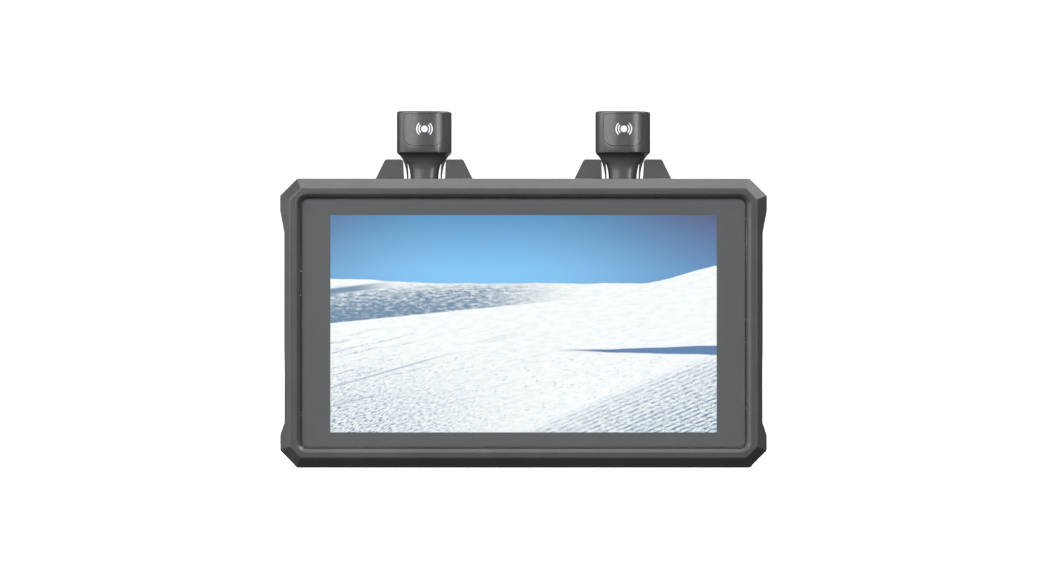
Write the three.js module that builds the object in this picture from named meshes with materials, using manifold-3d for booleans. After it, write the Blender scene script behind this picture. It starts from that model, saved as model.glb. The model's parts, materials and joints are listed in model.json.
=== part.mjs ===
// On-camera wireless video monitor with two fold-down antennas, in millimetres.
// +X is to the right of a person facing the screen, +Y runs from the screen to the back, +Z is up.
// The origin is the centre of the bounding box's underside.
import * as THREE from "three";
import { mergeVertices } from "three/addons/utils/BufferGeometryUtils.js";
import Module from "manifold-3d";

const wasm = await Module();
wasm.setup();

// ---- Driving dimensions ----
const BODY_WIDTH = 153.6; // over the corner bumpers
const WAIST_WIDTH = 150.8; // between the bumpers
const BODY_HEIGHT = 91.2;
const SHELL_DEPTH = 26; // front plane to the back of the rear cover
const TOTAL_DEPTH = 34; // front plane to the battery rails' hooks
const CORNER_CUT = 5.4; // leg of the 45 degree corner cuts
const EDGE_CHAMFER = 3.2; // front and rear edges
const WALL = 2;
const SEAM = [12, 12.3]; // back of the bezel, front of the rear cover
const MID_Z = BODY_HEIGHT / 2;
const FRONT_Y = -TOTAL_DEPTH / 2;

// Where the side bumpers end, measured from the body's middle height.
const BUMPER = { topStart: 28.5, topFull: 35.6, bottomFull: -35.4, bottomStart: -31.3 };

// Screen stack.
const GLASS = { width: 140.4, height: 78.6, radius: 2.2, front: 1.1, thick: 1.1 };
const GLASS_CLEARANCE = 0.3;
const GLASS_BEVEL = 1.0;
const ACTIVE = { width: 121.8, height: 68.5 };
const LEDGE_OPENING = { width: 130.4, height: 75.6 };
const LEDGE_BACK = 4.4;

// Antennas. The hinge axis runs along X at this height and depth.
const ANTENNA_X = 31.75;
const HINGE = { depth: 22.4, height: 87, barrelRadius: 3.2, barrelHalf: 5.65, pinRadius: 1.5, pinHalf: 13.8 };
const HEAD = { halfWidth: 8.76, halfDepth: 5.3, offset: -3, bottom: 12.75, top: 26.13, wall: 1.2 };
const EAR = { inner: 6.65, innerTop: 6.85, outer: 15.68, outerTop: 12.45, top: 97.8, round: 0.6 };
const SLOT_FRONT = 16.4; // front wall of the slot between the ears
const EAR_SIDE = { front: 18.4, back: 24.4, shoulder: 92.6 }; // seen from the side
const POCKET = { half: 9.5, bottom: 59.6, top: 79.5, floor: 19.6 };

// Battery plate.
const PLATE = { halfWidth: 20.8, bottom: 12, top: 82, front: 26.05, back: 28.4 };
const RAIL = { height: 4.6, wide: 2.2 };
const PAD_Z = 46;
const LATCH = { bottom: 70, top: 77.6, travel: 2.2, footHalf: 6, tabHalf: 4.4 };
const SPRING = { bottom: 62.3, top: 69.9, depth: 24.55, radius: 1.1, wire: 0.22, turns: 6 };

// Fan and heat sink.
const FAN = { x: 46, z: 33, size: 30, front: 16.4, back: 23.4, bore: 13.9 };
const BOARD = { width: 124, bottom: 11, top: 74, front: 13, back: 14.6 };
const RADIO = { x0: -62, x1: -30, z0: 50, z1: 74 };
const HEAT_SINK = { half: 24, bottom: 26, top: 56, back: 21.6, fins: 9, pitch: 3.4 };
const VENT = { x: 57, slots: 6, pitch: 3.2, width: 1.6 };

// Connectors and controls, by the height of their centres, and the sockets for a mounting screw.
const PORTS = { hdmiIn: 58, hdmiOut: 38, headphone: 23, power: 65, slider: 51, usb: 36, dc: 23 };
const PORT_DEPTH = 17.6;
const SLIDER_TRAVEL = 4.4;
const WALL_X = WAIST_WIDTH / 2;
const SOCKET = { radius: 5, bore: 2.7, deep: 9, depth: 17.5 };
const TWIST_HOLE = { x: 9.5, radius: 1.75, deep: 1.4 };

const SCREWS = [
  [-69, 38.6],
  [69, 38.6],
  [-69, -38.6],
  [69, -38.6],
];

// ---- Materials ----
function material(color, roughness, metalness = 0) {
  return new THREE.MeshStandardMaterial({ color, roughness, metalness });
}
const housing = material(0x3c3c3e, 0.55);
const antennaPlastic = material(0x39393b, 0.45);
const darkPlastic = material(0x1d1d1f, 0.6);
const glass = material(0x2b2c2e, 0.08);
const picture = material(0x7fb4e0, 0.4);
const steel = material(0xa9abae, 0.35, 1);
const aluminium = material(0xb9bbbe, 0.45, 1);
const brass = material(0xb58b45, 0.4, 1);
const board = material(0x16402c, 0.6);
const foam = material(0x141414, 0.95);
const copper = material(0xb26a3c, 0.4, 1);

// ---- Solids: three.js geometry in, manifold-3d joins and cuts, three.js geometry out ----
function solid(geometry) {
  const bare = new THREE.BufferGeometry();
  const flat = geometry.index ? geometry.toNonIndexed() : geometry;
  bare.setAttribute("position", flat.getAttribute("position").clone());
  const merged = mergeVertices(bare, 1e-4);
  const made = new wasm.Manifold(
    new wasm.Mesh({
      numProp: 3,
      vertProperties: new Float32Array(merged.getAttribute("position").array),
      triVerts: new Uint32Array(merged.index.array),
    }),
  );
  return made;
}

function geometryOf(part) {
  const mesh = part.getMesh();
  const points = new Float32Array(mesh.numVert * 3);
  for (let i = 0; i < mesh.numVert; i++) {
    points.set(mesh.vertProperties.subarray(i * mesh.numProp, i * mesh.numProp + 3), i * 3);
  }
  const geometry = new THREE.BufferGeometry();
  geometry.setAttribute("position", new THREE.BufferAttribute(points, 3));
  geometry.setIndex(new THREE.BufferAttribute(new Uint32Array(mesh.triVerts), 1));
  return geometry;
}

const join = (...parts) => parts.reduce((a, b) => a.add(b));
const cut = (from, ...tools) => tools.reduce((a, b) => a.subtract(b), from);

// Depth from the front plane as a Y coordinate.
const atDepth = (depth) => FRONT_Y + depth;

// A closed solid through sections of equally many points, one after another along an axis.
const ACROSS = { x: ["y", "z"], y: ["x", "z"], z: ["x", "y"] };
function loft(sections, along) {
  const [u, v] = ACROSS[along];
  const flatLoop = (loop) => loop.map((p) => new THREE.Vector2(p[u], p[v]));
  const clockwise = THREE.ShapeUtils.isClockWise(flatLoop(sections[0]));
  const loops = clockwise ? sections.map((loop) => [...loop].reverse()) : sections;
  const count = loops[0].length;
  const points = loops.flat();
  const triangles = [];
  for (let s = 0; s + 1 < loops.length; s++) {
    for (let i = 0; i < count; i++) {
      const a = s * count + i;
      const b = s * count + ((i + 1) % count);
      triangles.push(a, a + count, b, b, a + count, b + count);
    }
  }
  const last = (loops.length - 1) * count;
  for (const [a, b, c] of THREE.ShapeUtils.triangulateShape(flatLoop(loops[0]), [])) {
    triangles.push(a, b, c);
  }
  for (const [a, b, c] of THREE.ShapeUtils.triangulateShape(flatLoop(loops.at(-1)), [])) {
    triangles.push(last + a, last + c, last + b);
  }
  let volume = 0;
  for (let i = 0; i < triangles.length; i += 3) {
    const [a, b, c] = triangles.slice(i, i + 3).map((k) => points[k]);
    volume += a.dot(new THREE.Vector3().crossVectors(b, c));
  }
  if (volume < 0) triangles.reverse();
  const geometry = new THREE.BufferGeometry().setFromPoints(points);
  geometry.setIndex(triangles);
  return solid(geometry);
}

// Front-view outlines are lists of [x, z], anticlockwise. A slab is one extruded between two depths.
const layer = (outline, depth) => outline.map(([x, z]) => new THREE.Vector3(x, atDepth(depth), z));
const slab = (outline, front, back) => loft([layer(outline, front), layer(outline, back)], "y");

function roundedRect(width, height, radius, x = 0, z = MID_Z, steps = 5) {
  const outline = [];
  const corners = [
    [1, -1, -90],
    [1, 1, 0],
    [-1, 1, 90],
    [-1, -1, 180],
  ];
  for (const [sx, sz, from] of corners) {
    for (let i = 0; i <= steps; i++) {
      const angle = THREE.MathUtils.degToRad(from + (90 * i) / steps);
      outline.push([
        x + sx * (width / 2 - radius) + radius * Math.cos(angle),
        z + sz * (height / 2 - radius) + radius * Math.sin(angle),
      ]);
    }
  }
  return outline;
}

function box(x0, x1, depth0, depth1, z0, z1) {
  const geometry = new THREE.BoxGeometry(x1 - x0, depth1 - depth0, z1 - z0);
  geometry.translate((x0 + x1) / 2, atDepth((depth0 + depth1) / 2), (z0 + z1) / 2);
  return solid(geometry);
}

// A cylinder along "x", "y" or "z" from one end to the other, at the other two coordinates.
function rod(axis, radius, from, to, u, v, sides = 24) {
  const geometry = new THREE.CylinderGeometry(radius, radius, to - from, sides);
  const middle = (from + to) / 2;
  if (axis === "x") geometry.rotateZ(Math.PI / 2).translate(middle, atDepth(u), v);
  if (axis === "y") geometry.translate(u, atDepth(middle), v);
  if (axis === "z") geometry.rotateX(Math.PI / 2).translate(u, atDepth(v), middle);
  return solid(geometry);
}

// A side-view outline of [depth, z] extruded along X.
function plank(outline, x0, x1) {
  const at = (x) => outline.map(([depth, z]) => new THREE.Vector3(x, atDepth(depth), z));
  return loft([at(x0), at(x1)], "x");
}

// A rounded block through a side wall.
function sideBlock(x0, x1, depth, z, tall, deep, radius) {
  return plank(roundedRect(deep, tall, radius, depth, z, 4), x0, x1);
}

// ---- Housing outlines ----
function octagon(inset) {
  const w = BODY_WIDTH / 2 - inset;
  const h = MID_Z - inset;
  const c = CORNER_CUT - inset * (2 - Math.SQRT2);
  const right = [
    [w - c, -h],
    [w, -h + c],
    [w, h - c],
    [w - c, h],
  ];
  const left = right.map(([x, z]) => [-x, z]).reverse();
  return [...right, ...left].map(([x, z]) => [x, z + MID_Z]);
}

// The octagon drawn in at the sides between the bumpers.
function waisted(inset = 0) {
  const w = BODY_WIDTH / 2 - inset;
  const n = WAIST_WIDTH / 2 - inset;
  const h = MID_Z - inset;
  const c = CORNER_CUT - inset * (2 - Math.SQRT2);
  const right = [
    [w - c, -h],
    [w, -h + c],
    [w, BUMPER.bottomFull],
    [n, BUMPER.bottomStart],
    [n, BUMPER.topStart],
    [w, BUMPER.topFull],
    [w, h - c],
    [w - c, h],
  ];
  const left = right.map(([x, z]) => [-x, z]).reverse();
  return [...right, ...left].map(([x, z]) => [x, z + MID_Z]);
}

function housingBlock(front, back) {
  const chamfered = loft(
    [
      layer(octagon(EDGE_CHAMFER), 0),
      layer(octagon(0), EDGE_CHAMFER),
      layer(octagon(0), SHELL_DEPTH - EDGE_CHAMFER),
      layer(octagon(EDGE_CHAMFER), SHELL_DEPTH),
    ],
    "y",
  );
  const outline = slab(waisted(), front, back);
  return chamfered.intersect(outline);
}

const housingCavity = (front, back) => slab(waisted(WALL), front, back);

// ---- Front bezel and screen stack ----
function frontBezel() {
  const shell = housingBlock(0, SEAM[0]);
  const cavity = housingCavity(LEDGE_BACK, SEAM[0] + 1);
  const opening = slab(roundedRect(LEDGE_OPENING.width, LEDGE_OPENING.height, 1), -1, LEDGE_BACK + 1);
  const pocketWidth = GLASS.width + 2 * GLASS_CLEARANCE;
  const pocketHeight = GLASS.height + 2 * GLASS_CLEARANCE;
  const pocketRadius = GLASS.radius + GLASS_CLEARANCE;
  const pocketOutline = roundedRect(pocketWidth, pocketHeight, pocketRadius);
  const glassPocket = slab(pocketOutline, -1, GLASS.front + GLASS.thick + 0.3);
  const grown = (by) => roundedRect(pocketWidth + 2 * by, pocketHeight + 2 * by, pocketRadius + by);
  const bevel = loft(
    [
      layer(grown(GLASS_BEVEL * 2), -GLASS.front),
      layer(grown(GLASS_BEVEL), 0),
      layer(grown(0), GLASS.front),
    ],
    "y",
  );
  const bosses = SCREWS.map(([x, z]) => rod("y", 2.7, LEDGE_BACK - 0.2, SEAM[0], x, MID_Z + z, 16));
  const bores = SCREWS.map(([x, z]) => rod("y", 1.4, 5.5, SEAM[0] + 1, x, MID_Z + z, 12));
  return cut(join(cut(shell, cavity), ...bosses), opening, glassPocket, bevel, ...bores);
}

const glassBack = GLASS.front + GLASS.thick;

function coverGlass() {
  return slab(roundedRect(GLASS.width, GLASS.height, GLASS.radius), GLASS.front, glassBack);
}

function glassTape() {
  const outer = slab(roundedRect(GLASS.width - 1, GLASS.height - 1, 1.8), glassBack + 0.02, glassBack + 0.28);
  const hole = slab(roundedRect(LEDGE_OPENING.width + 0.6, LEDGE_OPENING.height + 0.6, 1), 0, LEDGE_BACK);
  return cut(outer, hole);
}

const PANEL = { width: 127.6, height: 73.4, front: glassBack + 0.05, back: 4.2 };
const TRAY = { width: 129.4, height: 74.8, front: 4.3, back: 6.1, wall: 0.5 };

function backlightTray() {
  const pan = slab(roundedRect(TRAY.width, TRAY.height, 1), TRAY.front, TRAY.back);
  const well = slab(
    roundedRect(TRAY.width - 2 * TRAY.wall, TRAY.height - 2 * TRAY.wall, 0.8),
    TRAY.front - 1,
    TRAY.back - TRAY.wall,
  );
  return cut(pan, well);
}

function lightGuide() {
  return box(-63, 63, TRAY.front + 0.05, TRAY.back - TRAY.wall - 0.05, MID_Z - 36, MID_Z + 36);
}

const MID_FRAME = { front: 7.2, back: 8.6 };

// A cast plate between the display and the board, with four legs that carry the board.
function midFrame() {
  const plate = slab(roundedRect(134, 76, 3), MID_FRAME.front, MID_FRAME.back);
  const flexWindow = box(-16, 16, 6, 10, MID_Z - 34, MID_Z - 24);
  const lightening = [-42, 42].map((x) => slab(roundedRect(36, 34, 4, x), 6, 10));
  const legs = [];
  for (const x of [-58.5, 58.5]) {
    for (const z of [BOARD.bottom + 3.5, BOARD.top - 3.5]) {
      legs.push(rod("y", 2.2, MID_FRAME.back - 0.1, BOARD.front - 0.05, x, z, 12));
    }
  }
  return join(cut(plate, flexWindow, ...lightening), ...legs);
}

// ---- Rear cover ----
function earProfile(side) {
  // Front-view outline of one ear of a pair, side -1 or 1, about the antenna's own centre line.
  const outline = [
    [side * EAR.inner, 81],
    [side * (EAR.outer - 1), 81],
    [side * (EAR.outer - 1), 88.6],
    [side * EAR.outer, BODY_HEIGHT],
    [side * (EAR.outerTop + 0.2), EAR.top - 0.4],
    [side * (EAR.outerTop - 0.3), EAR.top],
    [side * (EAR.innerTop + EAR.round), EAR.top],
    [side * (EAR.innerTop + 0.3 * EAR.round), EAR.top - 0.4 * EAR.round],
    [side * EAR.innerTop, EAR.top - EAR.round],
    [side * EAR.inner, BODY_HEIGHT],
  ];
  return side > 0 ? outline : outline.reverse();
}

// Side view of an ear: it rises from the cover and is lower than the antenna's head when that swings over.
function earSideBlock() {
  const side = [
    [EAR_SIDE.front, 80],
    [SHELL_DEPTH, 80],
    [SHELL_DEPTH, EAR_SIDE.shoulder],
    [EAR_SIDE.back, EAR.top + 0.01],
    [EAR_SIDE.front, EAR.top + 0.01],
  ];
  return plank(side, -20, 20);
}

const moveX = (part, x) => solid(geometryOf(part).translate(x, 0, 0));

function ventSlots(centreX, centreZ, radius) {
  const slots = [];
  const pitch = 3.8;
  for (let i = -3; i <= 3; i++) {
    const half = Math.sqrt(radius * radius - (i * pitch) ** 2);
    const outline = roundedRect(1.9, 2 * half, 0.94, centreX + i * pitch, centreZ, 3);
    slots.push(slab(outline, 20, SHELL_DEPTH + 1));
  }
  return slots;
}

function topVents(x) {
  const slots = [];
  for (let i = 0; i < VENT.slots; i++) {
    const left = x + (i - (VENT.slots - 1) / 2) * VENT.pitch - VENT.width / 2;
    slots.push(box(left, left + VENT.width, 15.5, 20.5, BODY_HEIGHT - 4, BODY_HEIGHT + 1));
  }
  return slots;
}

// What one antenna adds to the rear cover, a pair of ears and the walls round its slot and pocket,
// and what it takes away, the slot, the pocket and the bore for its hinge pin.
function antennaSeat(x) {
  const wall = 1.6;
  const pocketWall = POCKET.half + wall;
  const pocketHeight = POCKET.top - POCKET.bottom;
  const pocket = roundedRect(2 * POCKET.half, pocketHeight, 2.4, x, POCKET.bottom + pocketHeight / 2);
  const seenFromSide = earSideBlock();
  const ears = [-1, 1].map((side) => slab(earProfile(side), 14, 28).intersect(seenFromSide));
  const back = SHELL_DEPTH - 0.5;
  return {
    added: [
      ...ears.map((ear) => moveX(ear, x)),
      box(x - 12, x + 12, SLOT_FRONT - 1.8, back, POCKET.top - wall, BODY_HEIGHT - 0.5),
      box(x - pocketWall, x + pocketWall, POCKET.floor - wall, back, POCKET.bottom - wall, 86),
    ],
    removed: [
      box(x - EAR.inner, x + EAR.inner, SLOT_FRONT, 30, POCKET.top - 0.01, 100),
      slab(pocket, POCKET.floor, 30),
      rod("x", HINGE.pinRadius + 0.1, x - 16, x + 16, HINGE.depth, HINGE.height, 16),
    ],
  };
}

// The post that a case screw runs through, and its stepped hole.
function screwPost(x, z) {
  return {
    added: [rod("y", 2.7, SEAM[1], SHELL_DEPTH - 1, x, z, 16)],
    removed: [
      rod("y", 1.4, SEAM[1] - 1, SHELL_DEPTH, x, z, 12),
      rod("y", 2.6, SHELL_DEPTH - 1.5, SHELL_DEPTH + 1, x, z, 20),
    ],
  };
}

// The block round a tripod socket, at the top for end 1 and at the bottom for end -1.
function socketBlock(end) {
  const edge = end > 0 ? BODY_HEIGHT : 0;
  const ends = [edge - end * 0.6, edge - end * (SOCKET.deep + 1)];
  const reach = SOCKET.deep + 0.2;
  return {
    added: [box(-7, 7, SEAM[1] + 0.2, 22.5, Math.min(...ends), Math.max(...ends))],
    removed: [rod("z", SOCKET.radius + 0.1, edge - reach, edge + reach, 0, SOCKET.depth)],
  };
}

// Openings in the side walls for the connectors, the button and the slider.
function sideOpenings() {
  const openings = [
    [-1, PORTS.hdmiIn, 15.6, 6.2, 0.8],
    [-1, PORTS.hdmiOut, 15.6, 6.2, 0.8],
    [-1, PORTS.headphone, 7.2, 7.2, 3.58],
    [1, PORTS.power, 9.8, 5.2, 2.58],
    [1, PORTS.slider, 11.4, 3.4, 1.68],
    [1, PORTS.usb, 9.5, 3.7, 1.83],
    [1, PORTS.dc, 8.4, 8.4, 4.18],
  ];
  return openings.map(([side, z, tall, deep, radius]) => {
    const [x0, x1] = side > 0 ? [WALL_X - 4, WALL_X + 3] : [-WALL_X - 3, -WALL_X + 4];
    return sideBlock(x0, x1, PORT_DEPTH, z, tall, deep, radius);
  });
}

function rearCover() {
  const shell = cut(housingBlock(SEAM[1], SHELL_DEPTH), housingCavity(SEAM[1] - 1, SHELL_DEPTH - WALL));
  const features = [
    ...[-ANTENNA_X, ANTENNA_X].map(antennaSeat),
    ...SCREWS.map(([x, z]) => screwPost(x, MID_Z + z)),
    ...[1, -1].map(socketBlock),
  ];
  const twistHoles = [-TWIST_HOLE.x, TWIST_HOLE.x].map((x) => {
    return rod("z", TWIST_HOLE.radius, -1, TWIST_HOLE.deep, x, SOCKET.depth, 16);
  });
  const vents = [-1, 1].flatMap((side) => [
    ...ventSlots(side * FAN.x, FAN.z, 14.4),
    ...topVents(side * VENT.x),
  ]);
  // The battery latch and its spring sit in this window, behind the plate.
  const latchHalf = LATCH.footHalf + 0.2;
  const latchWindow = box(-latchHalf, latchHalf, 22, 27, SPRING.bottom - 0.1, LATCH.top + 0.3);
  const removed = features.flatMap((feature) => feature.removed);
  return cut(
    join(shell, ...features.flatMap((feature) => feature.added)),
    ...removed,
    ...twistHoles,
    ...vents,
    ...sideOpenings(),
    latchWindow,
  );
}

// ---- Antennas, each in its own frame about the hinge axis ----
// A rounded cross-section: a superellipse of the given half sizes.
function ellipseLoop(halfX, halfY, centreY, z, count = 32, power = 2.2) {
  const loop = [];
  for (let i = 0; i < count; i++) {
    const angle = (2 * Math.PI * i) / count;
    const [c, s] = [Math.cos(angle), Math.sin(angle)];
    loop.push(
      new THREE.Vector3(
        halfX * Math.sign(c) * Math.abs(c) ** (2 / power),
        centreY + halfY * Math.sign(s) * Math.abs(s) ** (2 / power),
        z,
      ),
    );
  }
  return loop;
}

// The arm in front view, about the hinge axis: a stem between two thin fins, which flare out to the head.
const ARM = {
  finHalf: 5.55, // outside of the fins at the hinge
  finGrowth: 2.1, // how far they spread evenly
  finKick: 0.95, // and how much further just under the head
  flareStart: 4,
  stemHalf: 4.48,
  slitOuter: 5.15,
  slitBottom: 3.5,
  slitTop: 9.4,
  straightTop: 4.7, // the stem's sides are straight up to here
  filletStart: 7.6, // where its front starts to curve out under the head
  halfDepth: 2.7,
  centre: -0.4,
};

function finHalf(z) {
  const t = Math.max(0, (z - ARM.flareStart) / (HEAD.bottom - ARM.flareStart));
  return ARM.finHalf + ARM.finGrowth * t ** 2 + ARM.finKick * t ** 8;
}

const aboveStraight = (z) => Math.max(0, z - ARM.straightTop);
const stemHalf = (z) => ARM.stemHalf + 0.036 * aboveStraight(z) ** 2;
const slitHalf = (z) => ARM.slitOuter + 0.012 * aboveStraight(z) ** 2;

// A front-view outline about the hinge axis, extruded along Y.
function upright(outline, y0, y1) {
  const at = (y) => outline.map(([x, z]) => new THREE.Vector3(x, y, z));
  return loft([at(y0), at(y1)], "y");
}

function armFins() {
  const steps = 12;
  const heights = Array.from({ length: steps + 1 }, (_, i) => 1 + ((HEAD.bottom - 1) * i) / steps);
  const right = heights.map((z) => [finHalf(z), z]);
  const left = heights.map((z) => [-finHalf(z), z]);
  return upright([...right, ...left.reverse()], -1.8, 1.8);
}

function armSlit(side) {
  const steps = 6;
  const heights = Array.from(
    { length: steps + 1 },
    (_, i) => ARM.slitBottom + ((ARM.slitTop - ARM.slitBottom) * i) / steps,
  );
  const outer = heights.map((z) => [side * slitHalf(z), z]);
  const inner = heights.map((z) => [side * stemHalf(z), z]);
  const loop = side > 0 ? [...outer, ...inner.reverse()] : [...inner, ...outer.reverse()];
  return upright(loop, -8, 6);
}

// The stem is round-fronted, and its front sweeps out to the head's in a quarter circle.
function armStem() {
  const fillet = [8.6, ARM.slitTop, 9.9, 10.6, 11.4, 12.1, 12.6];
  const heights = [1.5, ARM.straightTop, 6.2, ARM.filletStart, ...fillet, HEAD.bottom];
  const sections = heights.map((z) => {
    const u = Math.max(0, (z - ARM.filletStart) / (HEAD.bottom - ARM.filletStart));
    const sweep = 1 - Math.sqrt(1 - u * u);
    const halfWidth = z > ARM.slitTop ? finHalf(z) - 0.15 : stemHalf(z);
    const halfDepth = ARM.halfDepth + (HEAD.halfDepth - 0.1 - ARM.halfDepth) * sweep;
    return ellipseLoop(halfWidth, halfDepth, ARM.centre + (HEAD.offset - ARM.centre) * sweep, z);
  });
  return loft(sections, "z");
}

// A rod along the hinge axis.
function axle(radius, x0, x1, sides = 24) {
  const geometry = new THREE.CylinderGeometry(radius, radius, x1 - x0, sides);
  return solid(geometry.rotateZ(Math.PI / 2).translate((x0 + x1) / 2, 0, 0));
}

function antennaArm() {
  const barrel = axle(HINGE.barrelRadius, -HINGE.barrelHalf, HINGE.barrelHalf, 28);
  const bore = axle(HINGE.pinRadius + 0.06, -10, 10);
  const slits = [-1, 1].map(armSlit);
  return cut(join(cut(armFins(), ...slits), cut(armStem(), ...slits), barrel), bore);
}

const COVER = { half: 6.4, bottom: 15, top: 25.4, radius: 3.2, topRadius: 1, gap: 0.15 };

// The front cover's outline: large lower corners and small upper ones, drawn in by shrink.
function coverOutline(shrink) {
  const { half, bottom, top, radius, topRadius } = COVER;
  const steps = 6;
  const outline = [];
  for (const [side, edge, r, from] of [
    [-1, bottom + radius, radius, -180],
    [1, bottom + radius, radius, -90],
    [1, top - topRadius, topRadius, 0],
    [-1, top - topRadius, topRadius, 90],
  ]) {
    for (let i = 0; i <= steps; i++) {
      const angle = THREE.MathUtils.degToRad(from + (90 * i) / steps);
      const reach = r - shrink;
      outline.push([side * (half - r) + reach * Math.cos(angle), edge + reach * Math.sin(angle)]);
    }
  }
  return outline;
}

function headBlock(inset) {
  const [a, b] = [HEAD.halfWidth - inset, HEAD.halfDepth - inset];
  const bevel = 0.5;
  const bottom = HEAD.bottom + 0.05 + inset;
  const top = HEAD.top - inset;
  const count = 48;
  return loft(
    [
      ellipseLoop(a - bevel / 2, b - bevel / 2, HEAD.offset, bottom, count),
      ellipseLoop(a, b, HEAD.offset, bottom + bevel / 2, count),
      ellipseLoop(a, b, HEAD.offset, top - bevel, count),
      ellipseLoop(a - bevel, b - bevel, HEAD.offset, top, count),
    ],
    "z",
  );
}

function antennaHead() {
  const opening = upright(coverOutline(0), -12, HEAD.offset);
  return cut(headBlock(0), headBlock(HEAD.wall), opening);
}

function antennaCover() {
  const shell = cut(headBlock(0), headBlock(HEAD.wall));
  return shell.intersect(upright(coverOutline(COVER.gap), -12, HEAD.offset - 0.5));
}

function antennaElement() {
  const plate = new THREE.BoxGeometry(11, 0.8, 9.5);
  plate.translate(0, HEAD.offset + 0.4, (HEAD.bottom + HEAD.top) / 2);
  return solid(plate);
}

// ---- Battery plate ----
function batteryPlate() {
  const base = slab(
    roundedRect(2 * PLATE.halfWidth, PLATE.top - PLATE.bottom, 2.5, 0, (PLATE.top + PLATE.bottom) / 2),
    PLATE.front,
    PLATE.back,
  );
  const added = [];
  const railTop = PLATE.back + RAIL.height;
  for (const side of [-1, 1]) {
    const [inner, outer] = [PLATE.halfWidth - RAIL.wide, PLATE.halfWidth];
    const railX = side > 0 ? [inner, outer] : [-outer, -inner];
    added.push(box(...railX, PLATE.back - 0.1, railTop, 20, 76));
    const hookX = side > 0 ? [inner - 1.4, outer] : [-outer, -(inner - 1.4)];
    for (const z of [24, 56]) {
      added.push(box(...hookX, railTop - 1.5, railTop + 1, z, z + 9));
    }
  }
  // The pad that the battery's back rests on, clear of the hooks.
  added.push(slab(roundedRect(30, 38, 2, 0, PAD_Z), PLATE.back - 0.1, PLATE.back + 0.4));
  const windowHalf = LATCH.tabHalf + 0.2;
  const windowBottom = LATCH.bottom + 0.4 - LATCH.travel - 0.2;
  const latchWindow = box(-windowHalf, windowHalf, 24, 32, windowBottom, LATCH.top - 0.2);
  return cut(join(base, ...added), latchWindow);
}

function contactBlock() {
  const block = box(-12, 12, PLATE.back + 0.05, PLATE.back + 4.2, 13.4, 18.6);
  const chamfer = box(-13, 13, PLATE.back + 3.4, PLATE.back + 6, 12, 14.4);
  return cut(block, chamfer);
}

function contactBlade(x) {
  return box(x - 0.5, x + 0.5, PLATE.back + 1.1, PLATE.back + 3.3, 18.65, 25);
}

// The latch: a ramped tab with grip ridges on a foot that keeps it behind the plate.
function batteryLatch() {
  const { bottom, top, footHalf, tabHalf } = LATCH;
  const foot = box(-footHalf, footHalf, 24.2, 25.9, bottom, top);
  const side = [
    [25.8, bottom + 0.4],
    [PLATE.back + 1.4, bottom + 0.4],
    [PLATE.back + 2.2, bottom + 1.2],
    [PLATE.back + 2.2, top - 0.4],
    [25.8, top - 0.4],
  ];
  const ridges = [1.9, 3.5, 5.1].map((rise) => {
    return box(-3.6, 3.6, PLATE.back + 2.1, PLATE.back + 2.7, bottom + rise, bottom + rise + 0.6);
  });
  return join(foot, plank(side, -tabHalf, tabHalf), ...ridges);
}

class SpringHelix extends THREE.Curve {
  getPoint(t, target = new THREE.Vector3()) {
    const { bottom, top, depth, radius, wire, turns } = SPRING;
    const angle = 2 * Math.PI * turns * t;
    const z = bottom + wire + (top - bottom - 2 * wire) * t;
    return target.set(radius * Math.cos(angle), atDepth(depth) + radius * Math.sin(angle), z);
  }
}

function latchSpring() {
  const wire = new THREE.Shape().absarc(0, 0, SPRING.wire, 0, 2 * Math.PI);
  const options = { steps: 72, curveSegments: 3, bevelEnabled: false, extrudePath: new SpringHelix() };
  return solid(new THREE.ExtrudeGeometry(wire, options));
}

// ---- Electronics ----
function mainBoard() {
  const half = BOARD.width / 2;
  return box(-half, half, BOARD.front, BOARD.back, BOARD.bottom, BOARD.top);
}

function fanFrame() {
  const { x, z, size, front, back, bore } = FAN;
  const body = slab(roundedRect(size, size, 3, x, z, 3), front, back);
  const hole = rod("y", bore, front - 1, back + 1, x, z, 32);
  const corners = [];
  for (const sx of [-1, 1]) {
    for (const sz of [-1, 1]) {
      corners.push(rod("y", 1.6, front - 1, back + 1, x + sx * 12, z + sz * 12, 10));
    }
  }
  const struts = [
    box(x - 14.4, x + 14.4, front, front + 1, z - 0.9, z + 0.9),
    box(x - 0.9, x + 0.9, front, front + 1, z - 14.4, z + 14.4),
  ];
  const boss = rod("y", 4, front, front + 1, x, z, 20);
  const spindle = rod("y", 0.8, front, back - 1, x, z, 12);
  return join(cut(body, hole, ...corners), ...struts, boss, spindle);
}

function fanRotor() {
  const { x, z, front, back, bore } = FAN;
  const hub = rod("y", 6, front + 1.4, back - 0.5, x, z, 28);
  const blades = [];
  const count = 9;
  for (let i = 0; i < count; i++) {
    const blade = new THREE.BoxGeometry(bore - 0.9 - 5.5, 0.8, 5.6);
    blade.rotateX(THREE.MathUtils.degToRad(38));
    blade.translate((bore - 0.9 + 5.5) / 2, 0, 0);
    blade.rotateY((2 * Math.PI * i) / count);
    blade.translate(x, atDepth((front + back) / 2 + 0.4), z);
    blades.push(solid(blade));
  }
  return cut(join(hub, ...blades), rod("y", 0.9, front, back - 0.8, x, z, 12));
}

function heatSink() {
  const { half, bottom, top, back, fins, pitch } = HEAT_SINK;
  const base = box(-half, half, BOARD.back + 0.3, BOARD.back + 1.8, bottom, top);
  const blades = Array.from({ length: fins }, (_, i) => {
    const z = bottom + 1 + i * pitch;
    return box(1 - half, half - 1, BOARD.back + 1.7, back, z, z + 1);
  });
  return join(base, ...blades);
}

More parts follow.
